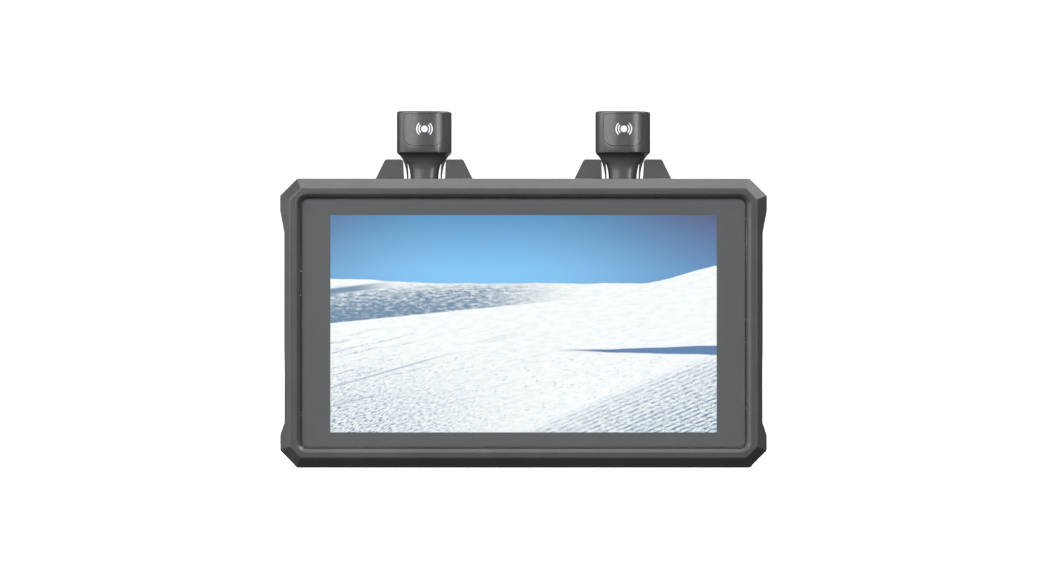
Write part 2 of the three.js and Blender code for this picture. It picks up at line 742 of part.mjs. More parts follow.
function radioShield() {
  const can = box(RADIO.x0 + 2, RADIO.x1 - 2, 16.05, 17.6, RADIO.z0 + 2, RADIO.z1 - 8);
  const inside = box(RADIO.x0 + 2.3, RADIO.x1 - 2.3, 15, 17.3, RADIO.z0 + 2.3, RADIO.z1 - 8.3);
  return cut(can, inside);
}

// ---- Connectors ----
function hdmiSocket(z) {
  const shell = sideBlock(-WALL_X + 0.5, -WALL_X + 12, PORT_DEPTH, z, 15, 5.6, 0.6);
  const mouth = sideBlock(-WALL_X - 1, -WALL_X + 11, PORT_DEPTH, z, 14, 4.6, 0.6);
  const tongue = box(-WALL_X + 2.4, -WALL_X + 11.5, PORT_DEPTH - 1, PORT_DEPTH + 0.2, z - 5.8, z + 5.8);
  return join(cut(shell, mouth), tongue);
}

function usbSocket() {
  const shell = sideBlock(WALL_X - 9, WALL_X - 0.5, PORT_DEPTH, PORTS.usb, 8.9, 3.2, 1.58);
  const mouth = sideBlock(WALL_X - 8, WALL_X + 1, PORT_DEPTH, PORTS.usb, 8.3, 2.6, 1.28);
  const tongue = sideBlock(WALL_X - 8.5, WALL_X - 1.6, PORT_DEPTH, PORTS.usb, 6.6, 0.7, 0.1);
  return join(cut(shell, mouth), tongue);
}

function headphoneSocket() {
  const ring = rod("x", 3.4, -WALL_X + 0.4, -WALL_X + 12, PORT_DEPTH, PORTS.headphone, 28);
  return cut(ring, rod("x", 1.8, -WALL_X - 1, -WALL_X + 11, PORT_DEPTH, PORTS.headphone, 20));
}

function dcSocket() {
  const body = join(
    rod("x", 4, WALL_X - 11, WALL_X - 0.4, PORT_DEPTH, PORTS.dc, 28),
    box(WALL_X - 12, WALL_X - 4.2, PORT_DEPTH - 4, PORT_DEPTH + 4, PORTS.dc - 4, PORTS.dc + 4),
  );
  const bore = rod("x", 2.8, WALL_X - 10, WALL_X + 1, PORT_DEPTH, PORTS.dc, 24);
  const pin = rod("x", 1, WALL_X - 10.5, WALL_X - 1.2, PORT_DEPTH, PORTS.dc, 14);
  return join(cut(body, bore), pin);
}

// ---- Button and slider ----
function powerButton() {
  const cap = sideBlock(WALL_X - 2.6, WALL_X + 0.6, PORT_DEPTH, PORTS.power, 9.4, 4.8, 2.38);
  const flange = sideBlock(WALL_X - 3.4, WALL_X - 2.5, PORT_DEPTH, PORTS.power, 11.4, 6.4, 1);
  return join(cap, flange);
}

function powerSwitch() {
  return join(
    box(WALL_X - 8.6, WALL_X - 4.9, PORT_DEPTH - 2.4, PORT_DEPTH + 2.4, PORTS.power - 2.4, PORTS.power + 2.4),
    rod("x", 1.2, WALL_X - 5, WALL_X - 4.1, PORT_DEPTH, PORTS.power, 14),
  );
}

function modeSlider() {
  const z = PORTS.slider - SLIDER_TRAVEL / 2;
  const knob = sideBlock(WALL_X - 2.6, WALL_X + 0.5, PORT_DEPTH, z, 5.6, 3, 0.8);
  const foot = box(WALL_X - 3.4, WALL_X - 2.5, PORT_DEPTH - 2.2, PORT_DEPTH + 2.2, z - 3.8, z + 3.8);
  return join(knob, foot);
}

function modeSwitch() {
  const { slider: z } = PORTS;
  return box(WALL_X - 8.6, WALL_X - 3.6, PORT_DEPTH - 2.6, PORT_DEPTH + 2.6, z - 5.5, z + 5.5);
}

// ---- Sockets and fasteners ----
function threadedSocket(end) {
  const edge = end > 0 ? BODY_HEIGHT - 0.1 : 0.1;
  const inner = edge - end * SOCKET.deep;
  const [low, high] = [Math.min(edge, inner), Math.max(edge, inner)];
  const mouth = end > 0 ? [low + 1.5, high + 1] : [low - 1, high - 1.5];
  return cut(
    rod("z", SOCKET.radius, low, high, 0, SOCKET.depth, 28),
    rod("z", SOCKET.bore, ...mouth, 0, SOCKET.depth, 24),
  );
}

function caseScrew(x, z) {
  const shank = rod("y", 1.25, 6.5, SHELL_DEPTH - 1.3, x, z, 12);
  const head = rod("y", 2.4, SHELL_DEPTH - 1.45, SHELL_DEPTH - 0.25, x, z, 20);
  const drive = new THREE.CylinderGeometry(1.15, 1.15, 1.6, 6);
  drive.translate(x, atDepth(SHELL_DEPTH - 0.25), z);
  return cut(join(shank, head), solid(drive));
}

function hingePin() {
  const { pinRadius, pinHalf } = HINGE;
  const profile = [
    [0, -pinHalf],
    [pinRadius - 0.3, -pinHalf],
    [pinRadius, -pinHalf + 0.3],
    [pinRadius, pinHalf - 0.3],
    [pinRadius - 0.3, pinHalf],
    [0, pinHalf],
  ].map(([r, along]) => new THREE.Vector2(r, along));
  return solid(new THREE.LatheGeometry(profile, 20).rotateZ(Math.PI / 2));
}

function frictionWasher(side) {
  const [near, far] = [HINGE.barrelHalf + 0.1, EAR.inner - 0.1];
  const [x0, x1] = side > 0 ? [near, far] : [-far, -near];
  return cut(axle(2.9, x0, x1), axle(HINGE.pinRadius + 0.1, x0 - 1, x1 + 1));
}

// ---- Internal leads ----
// A flat flex from the display's lower edge back to the board, as a bent strip.
function displayFlex() {
  const path = [
    [TRAY.back + 0.1, MID_Z - 30],
    [TRAY.back + 0.4, MID_Z - 30],
    [MID_FRAME.back + 1, MID_Z - 29],
    [BOARD.front - 0.35, MID_Z - 20],
    [BOARD.front - 0.05, MID_Z - 20],
    [BOARD.front - 0.05, MID_Z - 21.2],
    [MID_FRAME.back + 1.2, MID_Z - 31],
    [TRAY.back + 0.1, MID_Z - 31.6],
  ];
  return plank(path, -11, 11);
}

// The coaxial leads' routes from the radio board up to the wall under each hinge, as [x, depth, z].
const COAX_ROUTES = {
  left: [
    [-58, 16.7, 68],
    [-57, 17.2, 70.5],
    [-52, 17.5, 76],
    [-49, 18, 82],
    [-47.4, 19, 84.4],
  ],
  right: [
    [-33, 16.6, 68.2],
    [-30, 17, 70],
    [-22, 17, 66],
    [0, 16.6, 64],
    [14, 16.6, 72],
    [16.2, 18, 82.4],
  ],
};

function coaxLead(route) {
  const points = route.map(([x, depth, z]) => new THREE.Vector3(x, atDepth(depth), z));
  const extrudePath = new THREE.CatmullRomCurve3(points);
  const section = new THREE.Shape().absarc(0, 0, 0.6, 0, 2 * Math.PI);
  const options = { steps: 26, curveSegments: 4, bevelEnabled: false, extrudePath };
  return solid(new THREE.ExtrudeGeometry(section, options));
}

// ---- Assembly ----
const monitor = new THREE.Group();
monitor.name = "wireless_monitor";

function add(name, part, look, parent = monitor) {
  const mesh = new THREE.Mesh(geometryOf(part), look);
  mesh.name = name;
  parent.add(mesh);
  return mesh;
}

add("front_bezel", frontBezel(), housing);
add("cover_glass", coverGlass(), glass);
add("glass_tape", glassTape(), foam);
add("display_panel", slab(roundedRect(PANEL.width, PANEL.height, 0.5), PANEL.front, PANEL.back), picture);
add("light_guide", lightGuide(), foam);
add("backlight_tray", backlightTray(), steel);
add("mid_frame", midFrame(), aluminium);
add("display_flex", displayFlex(), copper);
add("main_board", mainBoard(), board);
add("heat_sink", heatSink(), aluminium);
add("radio_board", box(RADIO.x0, RADIO.x1, 15, 15.9, RADIO.z0, RADIO.z1 - 4), board);
add("radio_shield", radioShield(), steel);
add("fan_frame", fanFrame(), darkPlastic);
add("fan_rotor", fanRotor(), darkPlastic);
add("rear_cover", rearCover(), housing);
add("hdmi_socket_in", hdmiSocket(PORTS.hdmiIn), steel);
add("hdmi_socket_out", hdmiSocket(PORTS.hdmiOut), steel);
add("headphone_socket", headphoneSocket(), darkPlastic);
add("usb_socket", usbSocket(), steel);
add("dc_socket", dcSocket(), darkPlastic);
add("power_button", powerButton(), darkPlastic);
add("power_switch", powerSwitch(), steel);
add("mode_slider", modeSlider(), darkPlastic);
add("mode_switch", modeSwitch(), steel);
add("tripod_socket_bottom", threadedSocket(-1), brass);
add("tripod_socket_top", threadedSocket(1), brass);
add("battery_plate", batteryPlate(), darkPlastic);
add("contact_block", contactBlock(), darkPlastic);
add("battery_latch", batteryLatch(), darkPlastic);
add("latch_spring", latchSpring(), steel);
[-8, 0, 8].forEach((x, i) => add(`contact_blade_${i + 1}`, contactBlade(x), brass));
SCREWS.forEach(([x, z], i) => add(`case_screw_${i + 1}`, caseScrew(x, MID_Z + z), steel));
Object.entries(COAX_ROUTES).forEach(([label, route]) => add(`coax_${label}`, coaxLead(route), foam));

for (const [label, side] of [
  ["left", -1],
  ["right", 1],
]) {
  const hinge = new THREE.Group();
  hinge.position.set(side * ANTENNA_X, atDepth(HINGE.depth), HINGE.height);
  monitor.add(hinge);
  add(`antenna_arm_${label}`, antennaArm(), antennaPlastic, hinge);
  add(`antenna_head_${label}`, antennaHead(), antennaPlastic, hinge);
  add(`antenna_cover_${label}`, antennaCover(), antennaPlastic, hinge);
  add(`antenna_element_${label}`, antennaElement(), board, hinge);
  add(`hinge_pin_${label}`, hingePin(), steel, hinge);
  add(`hinge_washer_${label}_inner`, frictionWasher(-1), steel, hinge);
  add(`hinge_washer_${label}_outer`, frictionWasher(1), steel, hinge);
}

export default monitor;
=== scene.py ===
"""Looks for the on-camera wireless video monitor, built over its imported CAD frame.

Everything is in the part's own frame, in metres: +X right as seen facing the screen, +Y to the back, +Z up.
"""

import json
import math

import bmesh
import bpy
from mathutils import Matrix, Vector

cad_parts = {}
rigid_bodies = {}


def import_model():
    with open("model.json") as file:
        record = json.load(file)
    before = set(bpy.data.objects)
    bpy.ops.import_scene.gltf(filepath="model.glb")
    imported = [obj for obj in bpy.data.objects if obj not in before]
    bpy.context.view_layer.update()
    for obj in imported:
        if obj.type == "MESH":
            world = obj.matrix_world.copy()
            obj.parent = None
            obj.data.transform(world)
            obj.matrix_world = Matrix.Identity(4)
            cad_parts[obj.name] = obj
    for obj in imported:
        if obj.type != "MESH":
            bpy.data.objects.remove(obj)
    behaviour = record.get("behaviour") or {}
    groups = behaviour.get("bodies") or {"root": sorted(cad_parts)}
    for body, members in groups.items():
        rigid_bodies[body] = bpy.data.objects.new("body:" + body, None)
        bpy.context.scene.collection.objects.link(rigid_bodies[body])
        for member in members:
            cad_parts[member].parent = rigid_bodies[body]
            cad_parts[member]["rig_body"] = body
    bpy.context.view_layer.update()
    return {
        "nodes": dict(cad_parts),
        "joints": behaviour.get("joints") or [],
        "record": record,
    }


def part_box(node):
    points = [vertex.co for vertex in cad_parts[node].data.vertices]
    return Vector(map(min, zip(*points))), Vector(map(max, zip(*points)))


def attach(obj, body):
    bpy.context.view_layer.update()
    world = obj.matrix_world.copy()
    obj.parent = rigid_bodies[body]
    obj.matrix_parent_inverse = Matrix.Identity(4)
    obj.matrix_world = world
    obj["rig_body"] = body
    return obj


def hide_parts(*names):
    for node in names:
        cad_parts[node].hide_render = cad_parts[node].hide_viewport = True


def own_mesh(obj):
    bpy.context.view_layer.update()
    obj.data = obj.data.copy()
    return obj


MM = 0.001
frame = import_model()
nodes = frame["nodes"]
body_of = {n: o["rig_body"] for n, o in nodes.items()}
slot_of = {s["node"]: s["material_slot"] for s in frame["record"]["subparts"]}
joints = {j["name"]: j for j in frame["joints"]}


# ---- Materials: every colour and finish is procedural ----
class Shader:
    """A node material being built. math() and its kin add nodes and return their outputs."""

    def __init__(self, name):
        self.material = bpy.data.materials.new(name)
        self.material.use_nodes = True
        self.tree = self.material.node_tree
        self.tree.nodes.clear()
        self.output = self.add("ShaderNodeOutputMaterial")
        self.where = self.add("ShaderNodeTexCoord").outputs["Object"]

    def add(self, kind, **settings):
        node = self.tree.nodes.new(kind)
        for key, value in settings.items():
            setattr(node, key, value)
        return node

    def link(self, value, socket):
        if isinstance(value, bpy.types.NodeSocket):
            self.tree.links.new(value, socket)
        elif value is not None:
            socket.default_value = value

    def math(self, operation, a, b=None, c=None, clamp=False):
        node = self.add("ShaderNodeMath", operation=operation, use_clamp=clamp)
        for socket, value in zip(node.inputs, (a, b, c)):
            self.link(value, socket)
        return node.outputs[0]

    def noise(self, scale, detail=2.0, vector=None, rough=0.5):
        node = self.add("ShaderNodeTexNoise")
        self.link(vector or self.where, node.inputs["Vector"])
        node.inputs["Scale"].default_value = scale
        node.inputs["Detail"].default_value = detail
        node.inputs["Roughness"].default_value = rough
        return node.outputs["Fac"]

    def mapped(self, scale):
        node = self.add("ShaderNodeMapping")
        self.link(self.where, node.inputs["Vector"])
        node.inputs["Scale"].default_value = scale
        return node.outputs["Vector"]

    def ramp(self, value, low, high, smooth=True):
        node = self.add("ShaderNodeMapRange", clamp=True)
        node.interpolation_type = "SMOOTHSTEP" if smooth else "LINEAR"
        self.link(value, node.inputs["Value"])
        for key, limit in (("From Min", low), ("From Max", high)):
            self.link(limit, node.inputs[key])
        return node.outputs["Result"]

    def mix(self, factor, a, b):
        node = self.add("ShaderNodeMix", data_type="RGBA")
        self.link(factor, node.inputs["Factor"])
        for key, value in (("A", a), ("B", b)):
            socket = [s for s in node.inputs if s.name == key and s.type == "RGBA"][0]
            self.link(value, socket)
        return [s for s in node.outputs if s.type == "RGBA"][0]

    def bump(self, height, distance):
        node = self.add("ShaderNodeBump")
        self.link(height, node.inputs["Height"])
        node.inputs["Distance"].default_value = distance
        return node.outputs["Normal"]

    def principled(self, **inputs):
        node = self.add("ShaderNodeBsdfPrincipled")
        for key, value in inputs.items():
            self.link(value, node.inputs[key.replace("_", " ")])
        self.link(node.outputs["BSDF"], self.output.inputs["Surface"])
        return node


def grey(value, tint=(1.0, 1.0, 1.03)):
    return (value * tint[0], value * tint[1], value * tint[2], 1.0)


def moulded(name, low, high, roughness, grain=0.00002, grain_scale=5200):
    """Moulded plastic: faint mottling and an even spark-eroded grain."""
    s = Shader(name)
    mottle = s.noise(90, 4)
    colour = s.mix(s.ramp(mottle, 0.35, 0.65), low, high)
    worn = s.math("MULTIPLY_ADD", s.noise(900, 3), 0.12, roughness - 0.06)
    normal = s.bump(s.noise(grain_scale, 1.5), grain)
    s.principled(Base_Color=colour, Roughness=worn, Normal=normal)
    return s.material


def metal(name, low, high, roughness, stretch):
    """Bare metal with fine marks drawn out along one axis."""
    s = Shader(name)
    marks = s.noise(700, 4, s.mapped(stretch))
    colour = s.mix(s.ramp(marks, 0.3, 0.7), low, high)
    worn = s.math("MULTIPLY_ADD", marks, 0.2, roughness - 0.1)
    s.principled(Base_Color=colour, Roughness=worn, Metallic=1.0, Normal=s.bump(marks, 0.000004))
    return s.material


def circuit_board(name):
    """Green solder mask over faint copper tracks."""
    s = Shader(name)
    lanes = s.add("ShaderNodeTexBrick", offset=0.5)
    s.link(s.where, lanes.inputs["Vector"])
    lanes.inputs["Scale"].default_value = 260
    lanes.inputs["Mortar Size"].default_value = 0.03
    tracks = s.ramp(lanes.outputs["Fac"], 0.2, 0.8)
    colour = s.mix(tracks, (0.01, 0.06, 0.03, 1), (0.03, 0.13, 0.06, 1))
    s.principled(Base_Color=colour, Roughness=0.35, Normal=s.bump(tracks, 0.00002))
    return s.material


def clear_cover(name):
    """Thin clear sheet: sees straight through, with a reflection that grows at grazing angles."""
    s = Shader(name)
    smear = s.noise(35, 3)
    gloss = s.add("ShaderNodeBsdfGlossy")
    gloss.inputs["Color"].default_value = (1, 1, 1, 1)
    s.link(s.math("MULTIPLY_ADD", smear, 0.01, 0.002), gloss.inputs["Roughness"])
    clear = s.add("ShaderNodeBsdfTransparent")
    s.link(s.mix(smear, (0.97, 0.98, 0.98, 1), (0.99, 0.995, 0.995, 1)), clear.inputs["Color"])
    # The share a clear plastic or glass face reflects, the same from both of its sides.
    facing = s.add("ShaderNodeLayerWeight").outputs["Facing"]
    reflected = s.math("MULTIPLY_ADD", s.math("POWER", facing, 5), 0.966, 0.034)
    both = s.add("ShaderNodeMixShader")
    s.link(reflected, both.inputs[0])
    s.link(clear.outputs[0], both.inputs[1])
    s.link(gloss.outputs[0], both.inputs[2])
    s.link(both.outputs[0], s.output.inputs["Surface"])
    return s.material


def paint(name, low, high, roughness, scale=300):
    """Printed ink or a plain film."""
    s = Shader(name)
    colour = s.mix(s.noise(scale, 3), low, high)
    s.principled(Base_Color=colour, Roughness=roughness, Normal=s.bump(s.noise(3000), 0.0000006))
    return s.material


ACTIVE_WIDTH, ACTIVE_HEIGHT, ACTIVE_Z = 0.1218, 0.0685, 0.0454
HIGH_SKY_SIDE, HIGH_SKY_MIDDLE = (0.0, 0.0, 0.11, 1), (0.0, 0.227, 0.49, 1)
LOW_SKY_SIDE, LOW_SKY_MIDDLE = (0.01, 0.143, 0.39, 1), (0.14, 0.49, 0.84, 1)
DULL_SNOW, SUNLIT_SNOW = (0.81, 0.87, 0.9, 1), (0.95, 0.95, 0.94, 1)
SHADED_SNOW, DEEP_SHADE = (0.06, 0.17, 0.3, 1), (0.015, 0.13, 0.33, 1)


class Picture(Shader):
    """The display: a sunlit snow slope under a blue sky, lit inside the active area and dark outside it.

    u runs 0 to 1 from left to right and v from bottom to top of the active area.
    """

    def __init__(self, name):
        super().__init__(name)
        split = self.add("ShaderNodeSeparateXYZ")
        self.link(self.where, split.inputs[0])
        self.u = self.scaled(split.outputs["X"], 1 / ACTIVE_WIDTH, 0.5)
        self.v = self.scaled(split.outputs["Z"], 1 / ACTIVE_HEIGHT, 0.5 - ACTIVE_Z / ACTIVE_HEIGHT)
        self.powder = self.noise(40, 6, self.at(0.5, 1.7, 0.1), 0.7)
        self.specks = self.ramp(self.noise(105, 3, self.at(0.42, 1.5, 0.36), 0.7), 0.53, 0.38)

    def scaled(self, value, factor, offset=0.0):
        return self.math("MULTIPLY_ADD", value, factor, offset)

    def times(self, first, *others):
        for other in others:
            first = self.math("MULTIPLY", first, other)
        return first

    def larger(self, first, *others):
        for other in others:
            first = self.math("MAXIMUM", first, other)
        return first

    def at(self, u_scale, v_scale, turn=0.0):
        """Where a point of the picture falls in a pattern that is turned and stretched."""
        aspect = 1.78
        cos, sin = math.cos(turn), math.sin(turn)
        along = self.math("ADD", self.scaled(self.u, aspect * cos), self.scaled(self.v, sin))
        up = self.math("SUBTRACT", self.scaled(self.v, cos), self.scaled(self.u, aspect * sin))
        place = self.add("ShaderNodeCombineXYZ")
        self.link(self.scaled(along, u_scale), place.inputs[0])
        self.link(self.scaled(up, v_scale), place.inputs[1])
        return place.outputs[0]

    def band(self, slope, start, half, soft, gone, full):
        """A line that rises to the right from the left edge and dies away by u = gone."""
        centre = self.scaled(self.u, slope, start)
        gap = self.math("ABSOLUTE", self.math("SUBTRACT", self.v, centre))
        return self.times(self.ramp(gap, half + soft, half), self.ramp(self.u, gone, full))

    def sky(self):
        """Palest over the horizon left of the middle, darkening upwards and towards both sides."""
        middle = self.times(self.ramp(self.u, -0.3, 0.32), self.ramp(self.u, 1.15, 0.45))
        low = self.mix(middle, LOW_SKY_SIDE, LOW_SKY_MIDDLE)
        high = self.mix(middle, HIGH_SKY_SIDE, HIGH_SKY_MIDDLE)
        return self.mix(self.ramp(self.v, 0.745, 0.99, smooth=False), low, high)

    def below_skyline(self):
        """1 on the snow and 0 in the sky. The skyline is almost level and rises at the right edge."""
        rise = self.scaled(self.ramp(self.u, 0.8, 1.03), 0.085)
        sag = self.scaled(self.ramp(self.u, 0.0, 0.3), -0.022)
        rough = self.scaled(self.noise(9, 5, self.at(1, 0.02)), 0.016, -0.008)
        skyline = self.math("ADD", self.math("ADD", rise, sag), self.math("ADD", rough, 0.708))
        return self.ramp(self.math("SUBTRACT", skyline, self.v), -0.002, 0.002)

    def hollow(self):
        """Shade in the dug-over hollow at the left, darkest along its lower edge, and the bank above it."""
        above = self.math("SUBTRACT", self.v, self.scaled(self.u, 0.175, 0.503))
        top = self.ramp(self.math("ADD", self.v, self.scaled(self.u, -0.06)), 0.69, 0.62)
        inside = self.times(self.ramp(above, -0.003, 0.003), self.ramp(self.u, 0.68, 0.36), top)
        dark = self.times(self.ramp(above, 0.13, 0.0), self.ramp(self.u, 0.6, 0.0))
        clods = self.math("SUBTRACT", self.noise(62, 5, self.at(0.45, 1.6), 0.72), 0.5)
        dug = self.math("MULTIPLY_ADD", clods, -3.6, self.scaled(dark, 0.5, 0.62))
        bank = self.scaled(self.band(0.21, 0.648, 0.008, 0.012, 0.2, 0.05), 0.95)
        return self.larger(self.times(inside, self.larger(dug, 0.12)), bank)

    def tracks(self):
        """Shade in ski tracks and loose snow, thickest in the lower left corner."""
        long_track = self.scaled(self.band(0.51, 0.205, 0.001, 0.005, 0.36, 0.2), 0.6)
        short_track = self.scaled(self.band(0.46, 0.118, 0.001, 0.005, 0.16, 0.08), 0.6)
        corner = self.times(self.ramp(self.v, 0.46, 0.0), self.ramp(self.u, 0.62, 0.0))
        veil = self.times(corner, self.scaled(self.specks, 0.95, 0.1))
        drawn_out = self.ramp(self.noise(17, 3, self.at(0.16, 3.6, 0.24)), 0.55, 0.62)
        faint = self.times(drawn_out, self.ramp(self.v, 0.52, 0.4), self.ramp(self.u, 0.7, 0.1))
        faint = self.times(faint, self.scaled(self.specks, 0.5, 0.16))
        crumbs = self.ramp(self.noise(75, 2, self.at(0.5, 1.6, 0.3)), 0.62, 0.7)
        crumbs = self.times(crumbs, self.ramp(self.v, 0.46, 0.3), 0.5)
        return self.larger(long_track, short_track, veil, faint, crumbs)

    def groomed(self):
        """Shade between the combed ridges in the lower right."""
        comb = self.add("ShaderNodeTexWave", wave_type="BANDS", bands_direction="Y")
        self.link(self.at(1.0, 1.0, 0.4), comb.inputs["Vector"])
        for key, value in (("Scale", 17), ("Distortion", 1.6), ("Detail", 4), ("Detail Scale", 9)):
            comb.inputs[key].default_value = value
        beyond_edge = self.math("SUBTRACT", self.scaled(self.u, 0.72, -0.34), self.v)
        area = self.times(self.ramp(beyond_edge, -0.01, 0.05), self.ramp(self.v, 0.38, 0.3))
        depth = self.ramp(beyond_edge, 0.0, 0.4)
        broken = self.ramp(self.noise(48, 4, self.at(0.6, 1.5, 0.42), 0.7), 0.36, 0.6)
        ridges = self.times(self.ramp(comb.outputs["Fac"], 0.35, 0.85), self.scaled(depth, 0.6, 0.4), broken)
        ridges = self.math("ADD", ridges, self.times(self.specks, self.scaled(depth, 0.45, 0.35)))
        return self.times(area, self.math("ADD", ridges, 0.06))

    def streak(self):
        """A long shadow that widens to the right edge."""
        half = self.scaled(self.ramp(self.u, 0.66, 1.0, smooth=False), 0.018)
        centre = self.scaled(self.noise(5, 3, self.at(1, 0.1)), 0.012, 0.371)
        gap = self.math("ABSOLUTE", self.math("SUBTRACT", self.v, centre))
        across = self.ramp(self.math("SUBTRACT", gap, half), 0.007, 0.001)
        return self.times(across, self.ramp(self.u, 0.56, 0.7))

    def snow(self):
        shade = self.larger(self.hollow(), self.tracks())
        shade = self.math("MAXIMUM", shade, self.groomed(), clamp=True)
        sunlit = self.mix(self.ramp(self.powder, 0.35, 0.6), DULL_SNOW, SUNLIT_SNOW)
        return self.mix(self.streak(), self.mix(shade, sunlit, SHADED_SNOW), DEEP_SHADE)

    def inside(self):
        """1 in the active area, whose edge is sharp."""
        from_middle = [self.math("ABSOLUTE", self.math("SUBTRACT", c, 0.5)) for c in (self.u, self.v)]
        across = self.ramp(from_middle[0], 0.5004, 0.4998, smooth=False)
        upward = self.ramp(from_middle[1], 0.5006, 0.4996, smooth=False)
        return self.times(across, upward)


def lit_picture(name):
    """The display panel: a matt front that glows with the picture. Its grey is painted sheen, an even veil of
    reflected light.
    """
    s = Picture(name)
    picture = s.mix(s.below_skyline(), s.sky(), s.snow())
    s.principled(
        # Mid grey front: painted sheen standing in for the even veil of light the glass reflects.
        Base_Color=grey(0.1),
        Roughness=0.6,
        Emission_Color=s.mix(s.inside(), (0.0, 0.0, 0.0, 1), picture),
        Emission_Strength=1.0,
        Normal=s.bump(s.noise(3000), 0.000002),
    )
    return s.material


looks = {
    "housing": moulded("housing", grey(0.052), grey(0.06), 0.38),
    "antenna_plastic": moulded("antenna_plastic", grey(0.06), grey(0.068), 0.3, 0.000004, 7000),
    "dark_plastic": moulded("dark_plastic", grey(0.012), grey(0.018), 0.5),
    "cover_glass": clear_cover("cover_glass"),
    "display": lit_picture("display"),
    "light_guide": paint("light_guide", (0.8, 0.82, 0.84, 1), (0.86, 0.88, 0.9, 1), 0.25),
    "steel": metal("steel", (0.42, 0.42, 0.43, 1), (0.6, 0.6, 0.61, 1), 0.34, (1, 1, 6)),
    "aluminium": metal("aluminium", (0.5, 0.51, 0.52, 1), (0.66, 0.67, 0.68, 1), 0.42, (1, 4, 1)),
    "brass": metal("brass", (0.42, 0.27, 0.1, 1), (0.62, 0.42, 0.17, 1), 0.3, (1, 1, 5)),
    "circuit_board": circuit_board("circuit_board"),
    "foam": paint("foam", grey(0.006), grey(0.012), 0.85, 1500),
    "cable_jacket": paint("cable_jacket", grey(0.008), grey(0.014), 0.5, 900),
    "flex": paint("flex", (0.32, 0.12, 0.03, 1), (0.45, 0.19, 0.05, 1), 0.35),
}
# Border ink in mid grey: the ink's own dark plus a painted sheen, an even veil of reflected light over the
# glass.
border_ink = paint("border_ink", grey(0.098), grey(0.102), 0.6)
symbol_ink = paint("symbol_ink", grey(0.86), grey(0.9), 0.6)


# ---- Building pieces ----
def new_piece(name, mesh_or_bm, body, slot, *stands_for, look=None, smooth=True):
    """A mesh object of the part, with its look, riding on a CAD body."""
    if isinstance(mesh_or_bm, bmesh.types.BMesh):
        mesh = bpy.data.meshes.new(name)
        mesh_or_bm.normal_update()
        mesh_or_bm.to_mesh(mesh)
        mesh_or_bm.free()
    else:
        mesh = mesh_or_bm
    piece = bpy.data.objects.new(name, mesh)
    bpy.context.scene.collection.objects.link(piece)
    mesh.materials.clear()
    mesh.materials.append(look or looks[slot])
    for face in mesh.polygons:
        face.use_smooth = smooth
        face.material_index = 0
    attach(piece, body)
    if stands_for:
        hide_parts(*stands_for)
    return piece


def sharpen(piece, degrees=30):
    """Marks edges steeper than this sharp, so that smooth shading keeps to the faces between them."""
    bm = bmesh.new()
    bm.from_mesh(piece.data)
    for edge in bm.edges:
        edge.smooth = len(edge.link_faces) == 2 and edge.calc_face_angle(0) < math.radians(degrees)
    bm.to_mesh(piece.data)
    bm.free()


def edged(piece, width, segments=2, degrees=25):
    """Rounds a piece's edges as moulded or machined ones are."""
    bevel = piece.modifiers.new("edges", "BEVEL")
    bevel.width = width
    bevel.segments = segments
    bevel.limit_method = "ANGLE"
    bevel.angle_limit = math.radians(degrees)
    bevel.use_clamp_overlap = True
    bevel.miter_outer = "MITER_ARC"
    bevel.harden_normals = False
    normals = piece.modifiers.new("normals", "WEIGHTED_NORMAL")
    normals.keep_sharp = False
    normals.weight = 80


def merged_copy(node):
    """A CAD node's shape with its flat faces whole again."""
    bm = bmesh.new()
    bm.from_mesh(nodes[node].data)
    bmesh.ops.remove_doubles(bm, verts=bm.verts, dist=2e-6)
    bmesh.ops.dissolve_limit(bm, angle_limit=math.radians(0.7), verts=bm.verts, edges=bm.edges)
    for face in bm.faces:
        face.smooth = True
    return bm


def refined(name, node, width, segments=2, degrees=25):
    """A CAD node's shape with its edges rounded, standing for the node."""
    piece = new_piece(name, merged_copy(node), body_of[node], slot_of[node], node)
    edged(piece, width, segments, degrees)


def skin(bm, rings, closed_ends=True):
    """Joins rings of equally many points into a tube, with a face over each end."""
    loops = [[bm.verts.new(p) for p in ring] for ring in rings]
    count = len(loops[0])
    for low, high in zip(loops, loops[1:]):
        for i in range(count):
            j = (i + 1) % count
            bm.faces.new((low[i], low[j], high[j], high[i]))
    if closed_ends:
        bm.faces.new(list(reversed(loops[0])))
        bm.faces.new(loops[-1])
    return loops


def lathe(bm, profile, origin, axis="x", sides=48, closed_ends=True):
    """Turns a profile of (radius, along) about an axis through origin, with a disc over each end if asked."""
    turn = {"x": Matrix.Rotation(math.pi / 2, 4, "Y"), "y": Matrix.Rotation(-math.pi / 2, 4, "X")}
    place = Matrix.Translation(origin) @ turn.get(axis, Matrix.Identity(4))
    rings = []
    for radius, along in profile:
        ring = []
        for i in range(sides):
            angle = 2 * math.pi * i / sides
            ring.append(place @ Vector((radius * math.cos(angle), radius * math.sin(angle), along)))
        rings.append(ring)
    return skin(bm, rings, closed_ends)


# ---- Housing, screen and rear fittings ----
refined("bezel", "front_bezel", 0.45 * MM, 3)
refined("back_cover", "rear_cover", 0.3 * MM, 2, 32)
refined("glass_sheet", "cover_glass", 0.12 * MM, 2)
refined("battery_mount", "battery_plate", 0.3 * MM, 2)
refined("contact_housing", "contact_block", 0.25 * MM, 2)
refined("latch", "battery_latch", 0.22 * MM, 2)
refined("power_key", "power_button", 0.25 * MM, 3, 40)
refined("mode_knob", "mode_slider", 0.2 * MM, 2, 40)

for node in ("hdmi_socket_in", "hdmi_socket_out", "usb_socket", "headphone_socket", "dc_socket"):
    edged(nodes[node], 0.08 * MM, 2, 40)


